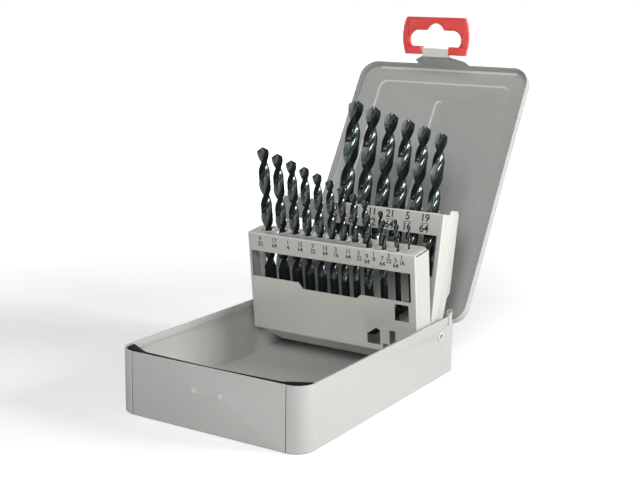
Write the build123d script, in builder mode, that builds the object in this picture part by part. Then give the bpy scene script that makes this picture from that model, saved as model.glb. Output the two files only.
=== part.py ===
"""Drill bit case: a folded sheet-metal tray and lid with two tip-up racks and 21 twist drills.

Units are millimetres. The origin is the middle of the tray's flat underside.
+X is to the right, +Y to the hinge at the back, +Z up. The lid is stored open and the
racks tipped up. Each hinged piece is drawn square to the axes, with the lid shut and
the racks upright, and is then turned about its own hinge line into the stored pose.
"""
import os
from math import cos, radians, sin, tan

from build123d import *

os.makedirs("parts", exist_ok=True)

# ---------------------------------------------------------------- driving dimensions
sheet = 0.7             # thickness of all folded sheet metal
running_fit = 0.06      # radial clearance of a pin in its hole
slip_gap = 0.4          # between sheets that swing past each other

# tray
case_w = 121.0          # outside, left to right
case_d = 168.2          # outside, front to back
case_h = 36.2           # top of the walls
front_corner_r = 10.8
rear_corner_r = 1.0
floor_bend = 0.9        # along the bottom edges
seam_w = 0.5            # open seam between the front panel and the rounded corners
hem_h = 4.0             # wall tops folded back on themselves
hem_end_gap = 11.6      # the side hems stop short of the rolled rear corners
corner_roll_r = 1.9     # tubes rolled inside the rear corners
corner_roll_inset = 0.3  # from the back wall's outside
corner_roll_rise = 2.2  # above the walls, at the middle of its sloping top
corner_roll_h = 9.0
corner_roll_slope = 28  # degrees, up towards the back
corner_flat = 4.1       # flat wall between a rolled corner and the slot beside it
relief_w = 1.1
relief_h = 4.7
relief_r = 0.9          # round end of the slot
bump_pitch = 17.0       # two pressed latch bumps on the front panel
bump_drop = 11.3        # their centres below the lid's rim
bump_r = 2.1
bump_rise = 1.2

# soft strip behind the front panel, filling the rounded corners
buffer_drop = 0.3       # below the wall tops
buffer_h = 8.0
buffer_gap = 0.3        # from the walls
buffer_front = 3.2      # its back face behind the case's front: middle,
buffer_shoulder = 4.8   # at buffer_shoulder_x,
buffer_reach = 13.0     # and at its ends
buffer_shoulder_x = 44.0

# lid
lid_side_gap = 1.2      # between a side wall and the lid's rim
lid_front_gap = 2.2     # between the front panel and the lid's rim
lid_back_gap = 4.5      # between the back wall and the lid's rim
lid_rim_h = 7.9
lid_overlap = 3.2       # how far the rim comes down over the walls
lid_corner_r = 11.6
lid_open_deg = 121.2    # swing from shut to the stored pose
panel_edge_r = 2.6      # bend between the lid's panel and its rim
bend_inside = 1.2       # flat across the inside of that bend
field_side = 13.0       # margin round the raised field
field_end = 10.0
field_rise = 1.0
field_corner_r = 6.0
rib_w = 7.0             # rib pressed up the middle of the field
rib_len = 128.0
rib_rise = 1.0
rib_end_gap = 13.0      # from the field's front end
press_taper = 40        # slope of the pressed field and rib

# latch tab and hanger flange on the lid's front rim
tab_w = 38.0
tab_shoulder_w = 36.4
tab_shoulder_h = 7.5
neck_w = 20.0
tab_len = 14.5
tab_root = 0.5          # bend between the rim and the tab
tab_lean_deg = 6.0      # the tab leans in to ride over the bumps
flange_w = 40.0
flange_len = 5.0

# hinge
hinge_y_gap = 5.4       # hinge line behind the back wall
hinge_drop = 6.0        # hinge line below the wall tops
hinge_pin_r = 1.25
hinge_len = 100.0
knuckle_count = 3

# racks
pivot_inset = 16.7      # rack pivot in front of the back wall's outside
pivot_drop = 10.0       # and below the wall tops
rivet_r = 2.2
rivet_bore_r = 1.7
rivet_head_r = 3.1
rivet_head_h = 0.6
arm_r = 6.0             # rounded end of each rack's arm round the rivet
rack_gap = 1.0          # between the front rack and the hemmed walls
rack_slip = 0.3         # between the two racks' arms
fold = 0.5              # flat across the outside of the racks' folds
front_lean_deg = 7.1    # tips forward of upright
front_rise = 58.55      # top of the rack above the pivot
front_depth = 17.0
front_floor_gap = 0.5   # under the front rack when it is folded down
front_crease = 62.3     # bottom crease below the rack's top
front_apron = 9.6       # sloping apron under the crease, back and down
rear_lean_deg = -10.6   # tips back of upright
rear_rise = 72.7
rear_depth = 20.6
rear_panel_h = 68.0
nest_gap = 0.3          # between the folded racks
top_chamfer = 3.0
flange_seam = 0.9       # open seam between the front rack's top and its side flanges
seat_gap = 0.2          # under each drill's end
hole_clearance = 0.3    # round each drill in its hole
row_back = 9.0          # main row of holes behind the front face
row_front = 3.1         # short front row of the front rack
rear_row = 10.6
rest_depth = 13.0
point_half_angle = 59.0
chisel_share = 0.12     # flat middle of the point, a share of the drill's radius

# hanger
hanger_w = 48.0
hanger_top_w = 42.6
hanger_foot_w = 43.6
hanger_h = 24.6
hanger_t = 2.6
hanger_lift = 0.8       # feet above the root of the lid's flange
hanger_widest_h = 11.5
hanger_corner_r = 1.4
hanger_rim = 1.3        # raised rim round its face and slot
hanger_rim_rise = 0.35
euro_w = 38.0
euro_h = 12.4
euro_hump_w = 13.4
euro_hump_h = 4.6
euro_bottom = 3.6       # bottom of the slot above the hanger's feet
foot_gap_w = 20.4       # the hanger is open between its feet
foot_h = 5.4
foot_front = 3.0        # the feet wrap the flange, front and back
foot_back = 1.6

# drills: numerator, denominator, overall length, place along the rack, row, seat level;
# places and windows are laid out for racks of these half widths, and spread with the racks
front_layout_w = 58.1
rear_layout_w = 57.1
INCH = 25.4
front_seat = -55.5      # seat levels are measured from the rack's top
mid_seat = -52.9
small_seat = -48.5
tiny_seat = -39.9
last_seat = -34.3
rear_seat = -62.0
front_set = [
    (9, 32, 108.0, -49.0, row_back, front_seat),
    (17, 64, 104.8, -38.8, row_back, front_seat),
    (1, 4, 101.6, -29.0, row_back, front_seat),
    (15, 64, 98.4, -19.9, row_back, front_seat),
    (7, 32, 95.3, -11.0, row_back, front_seat),
    (13, 64, 92.1, -2.5, row_back, front_seat),
    (3, 16, 88.9, 5.4, row_back, front_seat),
    (11, 64, 82.6, 13.4, row_back, mid_seat),
    (5, 32, 79.4, 20.9, row_back, mid_seat),
    (9, 64, 73.0, 26.2, row_front, mid_seat),
    (1, 8, 69.9, 31.3, row_back, small_seat),
    (7, 64, 66.7, 36.3, row_front, small_seat),
    (3, 32, 57.2, 41.0, row_back, tiny_seat),
    (5, 64, 50.8, 45.4, row_front, last_seat),
    (1, 16, 47.6, 49.4, row_back, last_seat),
]
rear_set = [
    (3, 8, 127.0, -17.2, rear_row, rear_seat),
    (23, 64, 123.8, -4.2, rear_row, rear_seat),
    (11, 32, 120.7, 8.8, rear_row, rear_seat),
    (21, 64, 117.5, 20.8, rear_row, rear_seat),
    (5, 16, 114.3, 32.4, rear_row, rear_seat),
    (19, 64, 111.1, 44.2, rear_row, rear_seat),
]

# ---------------------------------------------------------------- derived places
half_w = case_w / 2
half_d = case_d / 2
wall_in = half_w - sheet
hinge_y = half_d + hinge_y_gap
lid_half_w = half_w + lid_side_gap + sheet
lid_front = -half_d - lid_front_gap - sheet
lid_back = half_d + lid_back_gap + sheet
lid_mid = (lid_front + lid_back) / 2
hinge_z = case_h - hinge_drop
lip_z = case_h - lid_overlap
bump_z = lip_z - bump_drop
lid_top_z = lip_z + lid_rim_h
barrel_r = hinge_pin_r + running_fit + sheet
knuckle_w = hinge_len / knuckle_count
knuckle_x = [(i - (knuckle_count - 1) / 2) * knuckle_w for i in range(knuckle_count)]
rack_pivot_y = half_d - pivot_inset
rack_pivot_z = case_h - pivot_drop
front_half_w = half_w - 2 * sheet - rack_gap
rear_half_w = front_half_w - sheet - rack_slip
front_spread = front_half_w / front_layout_w
rear_spread = rear_half_w / rear_layout_w
front_face = rack_pivot_y - (rack_pivot_z - sheet - front_floor_gap)
rear_face = front_face + front_depth + nest_gap
front_top = rack_pivot_z + front_rise
rear_top = rack_pivot_z + rear_rise
hinge_axis = Axis((0, hinge_y, hinge_z), (1, 0, 0))
rack_axis = Axis((0, rack_pivot_y, rack_pivot_z), (1, 0, 0))


def spread_out(drills, factor):
    """The drills with their places along the rack spread with its width."""
    return [(over, under, length, place * factor, row, seat)
            for over, under, length, place, row, seat in drills]


front_drills = spread_out(front_set, front_spread)
rear_drills = spread_out(rear_set, rear_spread)


def save(part, name):
    """Label a finished piece and write it."""
    part.label = name
    export_step(part, f"parts/{name}.step")


# ---------------------------------------------------------------- tray
with BuildPart() as base_tray:
    with BuildSketch():
        outline = Rectangle(case_w, case_d)
        outline = fillet(outline.vertices().group_by(Axis.Y)[0], front_corner_r)
        fillet(outline.vertices().group_by(Axis.Y)[-1], rear_corner_r)
    extrude(amount=case_h)
    chamfer(base_tray.faces().sort_by(Axis.Z)[0].edges(), floor_bend)
    with BuildSketch(Plane.XY.offset(sheet)):
        inside = Rectangle(case_w - 2 * sheet, case_d - 2 * sheet)
        inside = fillet(inside.vertices().group_by(Axis.Y)[0], front_corner_r - sheet)
        fillet(inside.vertices().group_by(Axis.Y)[-1], rear_corner_r - sheet)
    extrude(amount=case_h, mode=Mode.SUBTRACT)
    # hems: the tops of the side walls are folded inwards
    side_hem = case_d - front_corner_r - hem_end_gap
    hem_y = (front_corner_r - hem_end_gap) / 2
    with Locations((wall_in - sheet / 2, hem_y, case_h), (-wall_in + sheet / 2, hem_y, case_h)):
        Box(sheet, side_hem, hem_h, align=(Align.CENTER, Align.CENTER, Align.MAX))
    # rear corners: cut away where the lid's rim comes down, and rolled into tubes inside it
    roll_x = half_w - corner_roll_r
    roll_y = half_d - corner_roll_inset - corner_roll_r
    with GridLocations(2 * roll_x, 0, 2, 1):
        with Locations((0, roll_y, lip_z - slip_gap)):
            Box(2 * corner_roll_r + slip_gap, case_d, case_h, mode=Mode.SUBTRACT,
                align=(Align.CENTER, Align.MIN, Align.MIN))
    with BuildSketch(Plane.XY.offset(case_h - corner_roll_h)):
        with Locations((-roll_x, roll_y), (roll_x, roll_y)):
            Circle(corner_roll_r)
        with Locations((sheet / 2 - half_w, roll_y), (half_w - sheet / 2, roll_y)):
            Rectangle(sheet, corner_flat, align=(Align.CENTER, Align.MAX))
    extrude(amount=corner_roll_h + 2 * corner_roll_rise)
    with BuildSketch(Plane.XY.offset(case_h - corner_roll_h)):
        with Locations((-roll_x, roll_y), (roll_x, roll_y)):
            Circle(corner_roll_r - sheet)
    extrude(amount=corner_roll_h + 2 * corner_roll_rise, mode=Mode.SUBTRACT)
    with Locations(Location((0, roll_y, case_h + corner_roll_rise), (corner_roll_slope, 0, 0))):
        Box(case_w, 2 * corner_flat + 2 * corner_roll_r, corner_roll_h, mode=Mode.SUBTRACT,
            align=(Align.CENTER, Align.CENTER, Align.MIN))
    relief_y = roll_y - corner_flat - relief_w / 2
    with Locations((0, relief_y, case_h)):
        Box(case_w, relief_w, relief_h, align=(Align.CENTER, Align.CENTER, Align.MAX),
            mode=Mode.SUBTRACT)
    with Locations(Plane.YZ):
        with Locations((relief_y, case_h - relief_h)):
            Hole(relief_r)
    # seams at both ends of the front panel
    with GridLocations(case_w - 2 * front_corner_r, 0, 2, 1):
        with Locations((0, -half_d, sheet)):
            Box(seam_w, 3 * sheet, 2 * case_h, align=(Align.CENTER, Align.CENTER, Align.MIN),
                mode=Mode.SUBTRACT)
    # latch bumps
    with BuildSketch(Plane.XZ.offset(half_d)):
        with Locations((-bump_pitch / 2, bump_z), (bump_pitch / 2, bump_z)):
            Circle(bump_r)
    extrude(amount=bump_rise, taper=45)
    # rivet holes in the side walls
    with Locations(Plane.YZ):
        with Locations((rack_pivot_y, rack_pivot_z)):
            Hole(rivet_r)
    # hinge knuckles, each on a tongue from the back wall
    for x in knuckle_x[::2]:
        with BuildSketch(Plane.YZ.offset(x - knuckle_w / 2)):
            with Locations((hinge_y, hinge_z)):
                Circle(barrel_r)
            with Locations((half_d - sheet / 2, hinge_z - barrel_r)):
                Rectangle(hinge_y_gap + sheet / 2, sheet, align=Align.MIN)
            with Locations((hinge_y, hinge_z)):
                Circle(hinge_pin_r + running_fit, mode=Mode.SUBTRACT)
        extrude(amount=knuckle_w)
save(base_tray.part, "base_tray")

# soft strip behind the front panel, its ends filling the rounded corners
with BuildPart() as front_buffer:
    buffer_half_w = half_w - 2 * sheet - buffer_gap
    buffer_face = -half_d + sheet + buffer_gap
    with BuildSketch(Plane.XY.offset(case_h - buffer_drop)):
        with BuildLine():
            Polyline((-buffer_half_w, buffer_face), (buffer_half_w, buffer_face),
                     (buffer_half_w, -half_d + buffer_reach),
                     (buffer_shoulder_x, -half_d + buffer_shoulder), (0, -half_d + buffer_front),
                     (-buffer_shoulder_x, -half_d + buffer_shoulder),
                     (-buffer_half_w, -half_d + buffer_reach), close=True)
        strip = make_face()
        fillet(strip.vertices().group_by(Axis.Y)[0], front_corner_r - 2 * sheet)
    extrude(amount=-buffer_h)
save(front_buffer.part, "front_buffer")

# ---------------------------------------------------------------- hinge pin and rack rivets
with BuildPart() as hinge_pin:
    with BuildSketch(Plane.YZ.offset(-hinge_len / 2)):
        with Locations((hinge_y, hinge_z)):
            Circle(hinge_pin_r)
    extrude(amount=hinge_len)
save(hinge_pin.part, "hinge_pin")

with BuildPart() as rack_rivets:
    rivet_inner = rear_half_w - sheet - slip_gap / 2
    with BuildSketch(Plane.YZ.offset(half_w)):
        with Locations((rack_pivot_y, rack_pivot_z)):
            Circle(rivet_head_r)
    extrude(amount=rivet_head_h)
    with BuildSketch(Plane.YZ.offset(rivet_inner)):
        with Locations((rack_pivot_y, rack_pivot_z)):
            Circle(rivet_r)
    extrude(amount=half_w - rivet_inner)
    with BuildSketch(Plane.YZ.offset(rivet_inner)):
        with Locations((rack_pivot_y, rack_pivot_z)):
            Circle(rivet_head_r)
    extrude(amount=-rivet_head_h)
    with BuildSketch(Plane.YZ.offset(rivet_inner - rivet_head_h)):
        with Locations((rack_pivot_y, rack_pivot_z)):
            Circle(rivet_bore_r)
    extrude(amount=half_w, mode=Mode.SUBTRACT)
    mirror(about=Plane.YZ)
save(rack_rivets.part, "rack_rivets")

# ---------------------------------------------------------------- lid, drawn shut
rib_centre = lid_front + field_end + rib_end_gap + rib_len / 2
tab_dir = (sin(radians(tab_lean_deg)), -cos(radians(tab_lean_deg)))
tab_plane = Plane(origin=(0, lid_front, lip_z), x_dir=(1, 0, 0),
                  z_dir=(0, -cos(radians(tab_lean_deg)), -sin(radians(tab_lean_deg))))
swing = radians(lid_open_deg)
flange_plane = Plane(origin=(0, lid_front + tab_len * tab_dir[0], lip_z + tab_len * tab_dir[1]),
                     x_dir=(1, 0, 0), z_dir=(0, -cos(swing), -sin(swing)))


def pressed_lid(inset):
    """The outside of the lid's pressing or, inset by the sheet's thickness, its hollow."""
    with BuildPart() as form:
        with BuildSketch(Plane.XY.offset(lip_z)):
            with Locations((0, lid_mid)):
                RectangleRounded(2 * (lid_half_w - inset), lid_back - lid_front - 2 * inset,
                                 lid_corner_r - inset)
        extrude(amount=lid_rim_h - inset)
        panel_edge = form.faces().sort_by(Axis.Z)[-1].edges()
        if inset:
            chamfer(panel_edge, bend_inside)
        else:
            fillet(panel_edge, panel_edge_r)
        # raised field with a rib up its middle
        with BuildSketch(Plane.XY.offset(lid_top_z - inset)):
            with Locations((0, lid_mid)):
                RectangleRounded(2 * (lid_half_w - field_side) - inset,
                                 lid_back - lid_front - 2 * field_end - inset, field_corner_r)
        extrude(amount=field_rise, taper=press_taper)
        with BuildSketch(Plane.XY.offset(lid_top_z + field_rise - inset)):
            with Locations((0, rib_centre)):
                SlotOverall(rib_len - inset, rib_w - inset, rotation=90)
        extrude(amount=rib_rise, taper=press_taper)
    return form.part


with BuildPart() as lid_shell:
    add(pressed_lid(0))
    add(pressed_lid(sheet), mode=Mode.SUBTRACT)
    # latch tab: shoulders that taper to a neck, with windows for the tray's bumps
    with BuildSketch(tab_plane):
        with BuildLine():
            Polyline((-tab_w / 2, tab_root), (-tab_shoulder_w / 2, -tab_shoulder_h),
                     (-neck_w / 2, -tab_len), (neck_w / 2, -tab_len),
                     (tab_shoulder_w / 2, -tab_shoulder_h), (tab_w / 2, tab_root), close=True)
        make_face()
        with Locations((-bump_pitch / 2, bump_z - lip_z), (bump_pitch / 2, bump_z - lip_z)):
            Circle(bump_r + slip_gap, mode=Mode.SUBTRACT)
    extrude(amount=-sheet)
    # flange that the hanger grips
    with BuildSketch(flange_plane):
        with Locations((0, -sheet)):
            Rectangle(neck_w, flange_len + sheet, align=(Align.CENTER, Align.MIN))
        with Locations((0, flange_len)):
            Rectangle(flange_w, flange_len / 2, align=(Align.CENTER, Align.MAX))
    extrude(amount=sheet)
    # knuckles between those of the tray
    for x in knuckle_x[1::2]:
        with BuildSketch(Plane.YZ.offset(x - knuckle_w / 2 + slip_gap)):
            with Locations((hinge_y, hinge_z)):
                Circle(barrel_r)
            with Locations((lid_back, lip_z)):
                Rectangle(sheet, lip_z - hinge_z, align=Align.MAX)
            with Locations((hinge_y, hinge_z)):
                Circle(hinge_pin_r + running_fit, mode=Mode.SUBTRACT)
        extrude(amount=knuckle_w - 2 * slip_gap)
save(lid_shell.part.rotate(hinge_axis, -lid_open_deg), "lid_shell")

# ---------------------------------------------------------------- racks, drawn upright


def drill_r(drill):
    """Radius of a drill from its fraction of an inch."""
    return drill[0] / drill[1] * INCH / 2


def folded_rack(half, face, top, side_view, plate_depth, corner, drills):
    """A panel with side flanges and arms and a pierced top flange, folded from one sheet."""
    depth = max(y for y, z in side_view) - face
    with BuildPart() as folded:
        with BuildSketch(Plane.XY.offset(rack_pivot_z - arm_r)):
            with Locations((0, face)):
                channel = Rectangle(2 * half, depth, align=(Align.CENTER, Align.MIN))
            chamfer(channel.vertices().group_by(Axis.Y)[0], fold)
            with Locations((0, face + sheet)):
                Rectangle(2 * (half - sheet), depth, align=(Align.CENTER, Align.MIN), mode=Mode.SUBTRACT)
        extrude(amount=top - rack_pivot_z + arm_r)
        with BuildSketch(Plane.YZ.offset(-half)):
            with BuildLine():
                Polyline(*side_view, close=True)
            make_face()
        extrude(amount=2 * half, mode=Mode.INTERSECT)
        with BuildSketch(Plane.XY.offset(top)):
            with Locations((0, face)):
                plate = Rectangle(2 * half, plate_depth, align=(Align.CENTER, Align.MIN))
            plate = chamfer(plate.vertices().group_by(Axis.Y)[-1], corner)
            chamfer(plate.vertices().group_by(Axis.Y)[0], fold)
            for drill in drills:
                with Locations((drill[3], face + drill[4])):
                    Circle(drill_r(drill) + hole_clearance, mode=Mode.SUBTRACT)
        extrude(amount=-sheet)
        chamfer(folded.edges().filter_by(Axis.X).group_by(Axis.Z)[-1].sort_by(Axis.Y)[0], fold)
        with BuildSketch(Plane.YZ.offset(half)):
            with Locations((rack_pivot_y, rack_pivot_z)):
                Circle(arm_r)
        arm = extrude(amount=-sheet)
        mirror(arm, about=Plane.YZ)
        with Locations(Plane.YZ):
            with Locations((rack_pivot_y, rack_pivot_z)):
                Hole(rivet_r + running_fit)
    return folded.part


# front rack: panel windows below the rack's top edge, as corners or (left, right, top, bottom)
front_window = [(-56.2, -11.4), (54.5, -11.4), (54.5, -29.4), (20.9, -29.4), (18.1, -31.9),
                (-19.8, -31.9), (-22.8, -28.1), (-56.2, -28.1)]
front_wedge = [(24.2, -53.3), (30.6, -48.6), (33.2, -49.6), (33.2, -59.2), (24.2, -59.2)]
front_side_window = (43.4, 52.8, -31.4, -41.9)
front_slot = (39.4, 43.5, -48.8, -58.4)
front_notch = (34.9, 38.5, -57.9, -62.3)

with BuildPart() as front_rack:
    crease_z = front_top - front_crease
    flange_top = front_top - sheet - flange_seam
    flange_back = front_face + front_depth
    # side view: the panel stands above the flanges, which narrow to an arm
    front_view = [(front_face, front_top), (front_face + sheet, front_top),
                  (front_face + sheet, flange_top), (flange_back, flange_top),
                  (flange_back, rack_pivot_z + 2 * arm_r), (rack_pivot_y + arm_r, rack_pivot_z),
                  (rack_pivot_y, rack_pivot_z - arm_r),
                  (front_face + crease_z - rack_pivot_z + arm_r, rack_pivot_z - arm_r),
                  (front_face, crease_z)]
    add(folded_rack(front_half_w, front_face, front_top, front_view, front_depth, top_chamfer,
                    front_drills))
    front_plane = Plane(origin=(0, front_face, front_top), x_dir=(1, 0, 0), z_dir=(0, -1, 0))
    with BuildSketch(front_plane):
        with BuildLine():
            Polyline(*[(x * front_spread, z) for x, z in front_window], close=True)
        make_face()
        with BuildLine():
            Polyline(*[(x * front_spread, z) for x, z in front_wedge], close=True)
        make_face()
        for left, right, high, low in (front_side_window, front_slot, front_notch):
            with Locations((left * front_spread, high)):
                Rectangle((right - left) * front_spread, high - low, align=(Align.MIN, Align.MAX))
    extrude(amount=-sheet, mode=Mode.SUBTRACT)
    # apron sloping back under the crease
    apron_plane = Plane(origin=(0, front_face, crease_z), x_dir=(1, 0, 0), z_dir=(0, -1, -1))
    apron_len = front_apron * 2 ** 0.5
    apron_top_w = 2 * front_half_w - front_apron
    with BuildSketch(apron_plane):
        with BuildLine():
            Polyline((-apron_top_w / 2, 0), (-apron_top_w / 2 + front_apron, -apron_len),
                     (apron_top_w / 2 - front_apron, -apron_len), (apron_top_w / 2, 0), close=True)
        make_face()
    extrude(amount=-sheet)
save(front_rack.part.rotate(rack_axis, front_lean_deg), "front_rack")

# front rest: a stepped strip between the flanges that the drills stand on
with BuildPart() as front_rest:
    steps = [(-front_half_w + sheet, front_seat)]
    for near, far in zip(front_drills[:-1], front_drills[1:]):
        if far[5] > near[5]:
            steps.append(((near[3] + far[3]) / 2, far[5]))
    steps.append((front_half_w - sheet, last_seat))
    with BuildSketch(Plane.XZ.offset(-front_face - sheet - seat_gap)):
        for (left, level), (right, next_level) in zip(steps[:-1], steps[1:]):
            with Locations((left, front_top + level - seat_gap)):
                Rectangle(right - left, sheet, align=(Align.MIN, Align.MAX))
            if next_level > level:
                with Locations((right, front_top + level - seat_gap - sheet)):
                    Rectangle(sheet, next_level - level + sheet, align=(Align.CENTER, Align.MIN))
    extrude(amount=-rest_depth)
save(front_rest.part.rotate(rack_axis, front_lean_deg), "front_rest")

# rear rack
rear_window = (-54.0, 54.0, -13.0, -20.0)
rear_deep_window = (26.0, 54.0, -13.0, -37.6)
rear_step_h = 47.0      # the flanges narrow by rear_step_w this far down
rear_step_w = 3.0
ear_w = 12.0            # rounded ear standing on each flange's top
ear_h = 2.6

with BuildPart() as rear_rack:
    rear_back = rear_face + rear_depth
    rear_view = [(rear_face, rear_top), (rear_back, rear_top), (rear_back, rear_top - rear_step_h),
                 (rear_back - rear_step_w, rear_top - rear_step_h - rear_step_w),
                 (rack_pivot_y + arm_r, rack_pivot_z), (rack_pivot_y, rack_pivot_z - arm_r),
                 (rear_face, rear_top - rear_panel_h)]
    add(folded_rack(rear_half_w, rear_face, rear_top, rear_view, rear_depth - top_chamfer, sheet,
                    rear_drills))
    rear_plane = Plane(origin=(0, rear_face, rear_top), x_dir=(1, 0, 0), z_dir=(0, -1, 0))
    with BuildSketch(rear_plane):
        for left, right, high, low in (rear_window, rear_deep_window):
            with Locations((left * rear_spread, high)):
                Rectangle((right - left) * rear_spread, high - low, align=(Align.MIN, Align.MAX))
    extrude(amount=-sheet, mode=Mode.SUBTRACT)
    with BuildSketch(Plane.YZ.offset(rear_half_w)):
        with Locations((rear_back - ear_w / 2, rear_top)):
            SlotOverall(ear_w, 2 * ear_h)
    ear = extrude(amount=-sheet)
    mirror(ear, about=Plane.YZ)
save(rear_rack.part.rotate(rack_axis, rear_lean_deg), "rear_rack")

with BuildPart() as rear_rest:
    with BuildSketch(Plane.XY.offset(rear_top + rear_seat - seat_gap)):
        with Locations((0, rear_face + sheet + seat_gap)):
            Rectangle(2 * (rear_half_w - sheet), rest_depth, align=(Align.CENTER, Align.MIN))
    extrude(amount=-sheet)
save(rear_rest.part.rotate(rack_axis, rear_lean_deg), "rear_rest")

# ---------------------------------------------------------------- drills


def make_drill(drill, face, top, lean):
    """A twist drill standing in its hole, point up."""
    over, under, length, place, row, seat = drill
    r = drill_r(drill)
    point_h = (1 - chisel_share) * r / tan(radians(point_half_angle))
    with BuildPart() as bit:
        # the shank's square stock and four ground point facets, turned down to the round
        with BuildSketch():
            Rectangle(2 * r, 2 * r)
        extrude(amount=length - point_h)
        with BuildSketch(Plane.XY.offset(length - point_h)):
            Rectangle(2 * r, 2 * r)
        extrude(amount=point_h, taper=point_half_angle)
        Cylinder(r, length, align=(Align.CENTER, Align.CENTER, Align.MIN), mode=Mode.INTERSECT)
    stand = bit.part.moved(Location((place, face + row, top + seat)))
    save(stand.rotate(rack_axis, lean), f"drill_{over}_{under}")


for drill in front_drills:
    make_drill(drill, front_face, front_top, front_lean_deg)
for drill in rear_drills:
    make_drill(drill, rear_face, rear_top, rear_lean_deg)

# ---------------------------------------------------------------- hanger, drawn on the shut lid
hanger_plane = Plane(origin=flange_plane.from_local_coords((0, hanger_lift, 0)), x_dir=(1, 0, 0),
                     z_dir=flange_plane.z_dir)


def euro_slot(grow, mode):
    """The slot with its hump, grown all round, in the open sketch."""
    with Locations((0, euro_bottom + euro_h / 2)):
        SlotOverall(euro_w + 2 * grow, euro_h + 2 * grow, mode=mode)
    with Locations((0, euro_bottom + euro_h - euro_hump_w / 2 + euro_hump_h)):
        Circle(euro_hump_w / 2 + grow, mode=mode)


with BuildPart() as hanger:
    with BuildSketch(hanger_plane) as frame:
        with BuildLine():
            ThreePointArc((-hanger_foot_w / 2, 0), (-hanger_w / 2, hanger_widest_h),
                          (-hanger_top_w / 2, hanger_h))
            Line((-hanger_top_w / 2, hanger_h), (hanger_top_w / 2, hanger_h))
            ThreePointArc((hanger_top_w / 2, hanger_h), (hanger_w / 2, hanger_widest_h),
                          (hanger_foot_w / 2, 0))
            Line((hanger_foot_w / 2, 0), (-hanger_foot_w / 2, 0))
        edge = make_face()
        fillet(edge.vertices().group_by(Axis.Y)[-1], hanger_corner_r)
        euro_slot(0, Mode.SUBTRACT)
        Rectangle(foot_gap_w, euro_bottom + euro_h / 2, align=(Align.CENTER, Align.MIN), mode=Mode.SUBTRACT)
    extrude(amount=hanger_t)
    # shallow face between the raised rims
    with BuildSketch(hanger_plane.offset(hanger_t)):
        with Locations((0, foot_h)):
            Rectangle(hanger_top_w - 2 * hanger_rim, hanger_h - foot_h - hanger_rim,
                      align=(Align.CENTER, Align.MIN))
        euro_slot(hanger_rim, Mode.SUBTRACT)
    extrude(amount=-hanger_rim_rise, mode=Mode.SUBTRACT)
    # feet that wrap the lid's flange
    with BuildSketch(hanger_plane) as feet:
        Rectangle(hanger_foot_w, foot_h, align=(Align.CENTER, Align.MIN))
        Rectangle(foot_gap_w, foot_h, align=(Align.CENTER, Align.MIN), mode=Mode.SUBTRACT)
    extrude(amount=foot_front)
    extrude(feet.sketch, amount=-foot_back)
    add(lid_shell.part, mode=Mode.SUBTRACT)
save(hanger.part.rotate(hinge_axis, -lid_open_deg), "hanger")
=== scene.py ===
"""Drill bit case: finishes the folded case, its two racks, the twist drills and the hanger."""
from math import atan2, cos, pi, radians, sin, sqrt, tan

import bmesh
import bpy
from mathutils import Matrix, Vector


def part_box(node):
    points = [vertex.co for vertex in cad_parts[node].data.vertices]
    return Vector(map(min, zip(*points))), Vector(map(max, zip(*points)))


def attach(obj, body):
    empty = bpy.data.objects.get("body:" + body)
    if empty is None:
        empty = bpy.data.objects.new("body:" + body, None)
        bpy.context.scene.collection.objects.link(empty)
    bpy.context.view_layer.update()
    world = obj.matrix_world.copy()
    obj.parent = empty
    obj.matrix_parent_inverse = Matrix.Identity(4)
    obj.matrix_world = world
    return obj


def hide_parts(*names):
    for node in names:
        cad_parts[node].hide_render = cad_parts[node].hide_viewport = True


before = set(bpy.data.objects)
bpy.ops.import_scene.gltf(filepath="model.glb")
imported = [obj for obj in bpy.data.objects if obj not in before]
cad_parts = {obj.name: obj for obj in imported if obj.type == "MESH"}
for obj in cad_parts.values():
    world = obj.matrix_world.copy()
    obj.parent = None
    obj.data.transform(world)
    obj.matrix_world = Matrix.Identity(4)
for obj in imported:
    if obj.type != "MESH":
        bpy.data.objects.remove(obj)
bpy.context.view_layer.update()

bl_info = {
    "name": "Drill Bit Case",
    "version": (1, 0, 0),
    "blender": (4, 5, 0),
    "location": "View3D > Sidebar > Drill Case",
    "description": "Builds the finished look of a folded metal case of twist drills",
    "category": "Object",
}

MM = 0.001
LEFT_AND_RIGHT = (-1, 1)

# drills by size, and where that size is printed: millimetres across, and up from its rack's top
FRONT_DRILLS = {
    "9_32": (-49.0, -5.0), "17_64": (-38.7, -5.0), "1_4": (-28.7, -5.0), "15_64": (-19.9, -5.0),
    "7_32": (-10.9, -5.0), "13_64": (-2.3, -5.0), "3_16": (5.2, -5.0), "11_64": (13.6, -5.0),
    "5_32": (20.9, -5.0), "9_64": (26.3, -6.2), "1_8": (31.0, -4.0), "7_64": (36.5, -6.2),
    "3_32": (40.8, -4.0), "5_64": (45.3, -6.2), "1_16": (49.3, -4.0),
}
REAR_DRILLS = {
    "3_8": (-17.2, -6.6), "23_64": (-4.2, -6.6), "11_32": (8.8, -6.6),
    "21_64": (21.3, -6.6), "5_16": (33.2, -6.6), "19_64": (44.9, -6.6),
}

# racks as drawn upright: side, drills, face, top edge, and lean about the shared rivets
RIVET_LINE = Vector((0, 67.4 * MM, 26.2 * MM))
RACKS = (("front", FRONT_DRILLS, 42.4 * MM, 84.75 * MM, radians(7.1)),
         ("rear", REAR_DRILLS, 59.7 * MM, 98.9 * MM, radians(-10.6)))

# tray: outsides of its walls, seams at the front wall's ends, and the latch's two places across
FRONT_WALL_Y, SIDE_WALL_X, SEAM_X, LATCH_X = -84.1 * MM, 60.45 * MM, 49.7 * MM, 8.5 * MM

# dressed solids: edges sharper than this are rounded, and take the piece's second finish: a light
# paint as painted highlight on the case and racks, a deeper red as painted shade on the hanger
SHARP_EDGE, EDGE_FINISH = radians(30), 1

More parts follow.
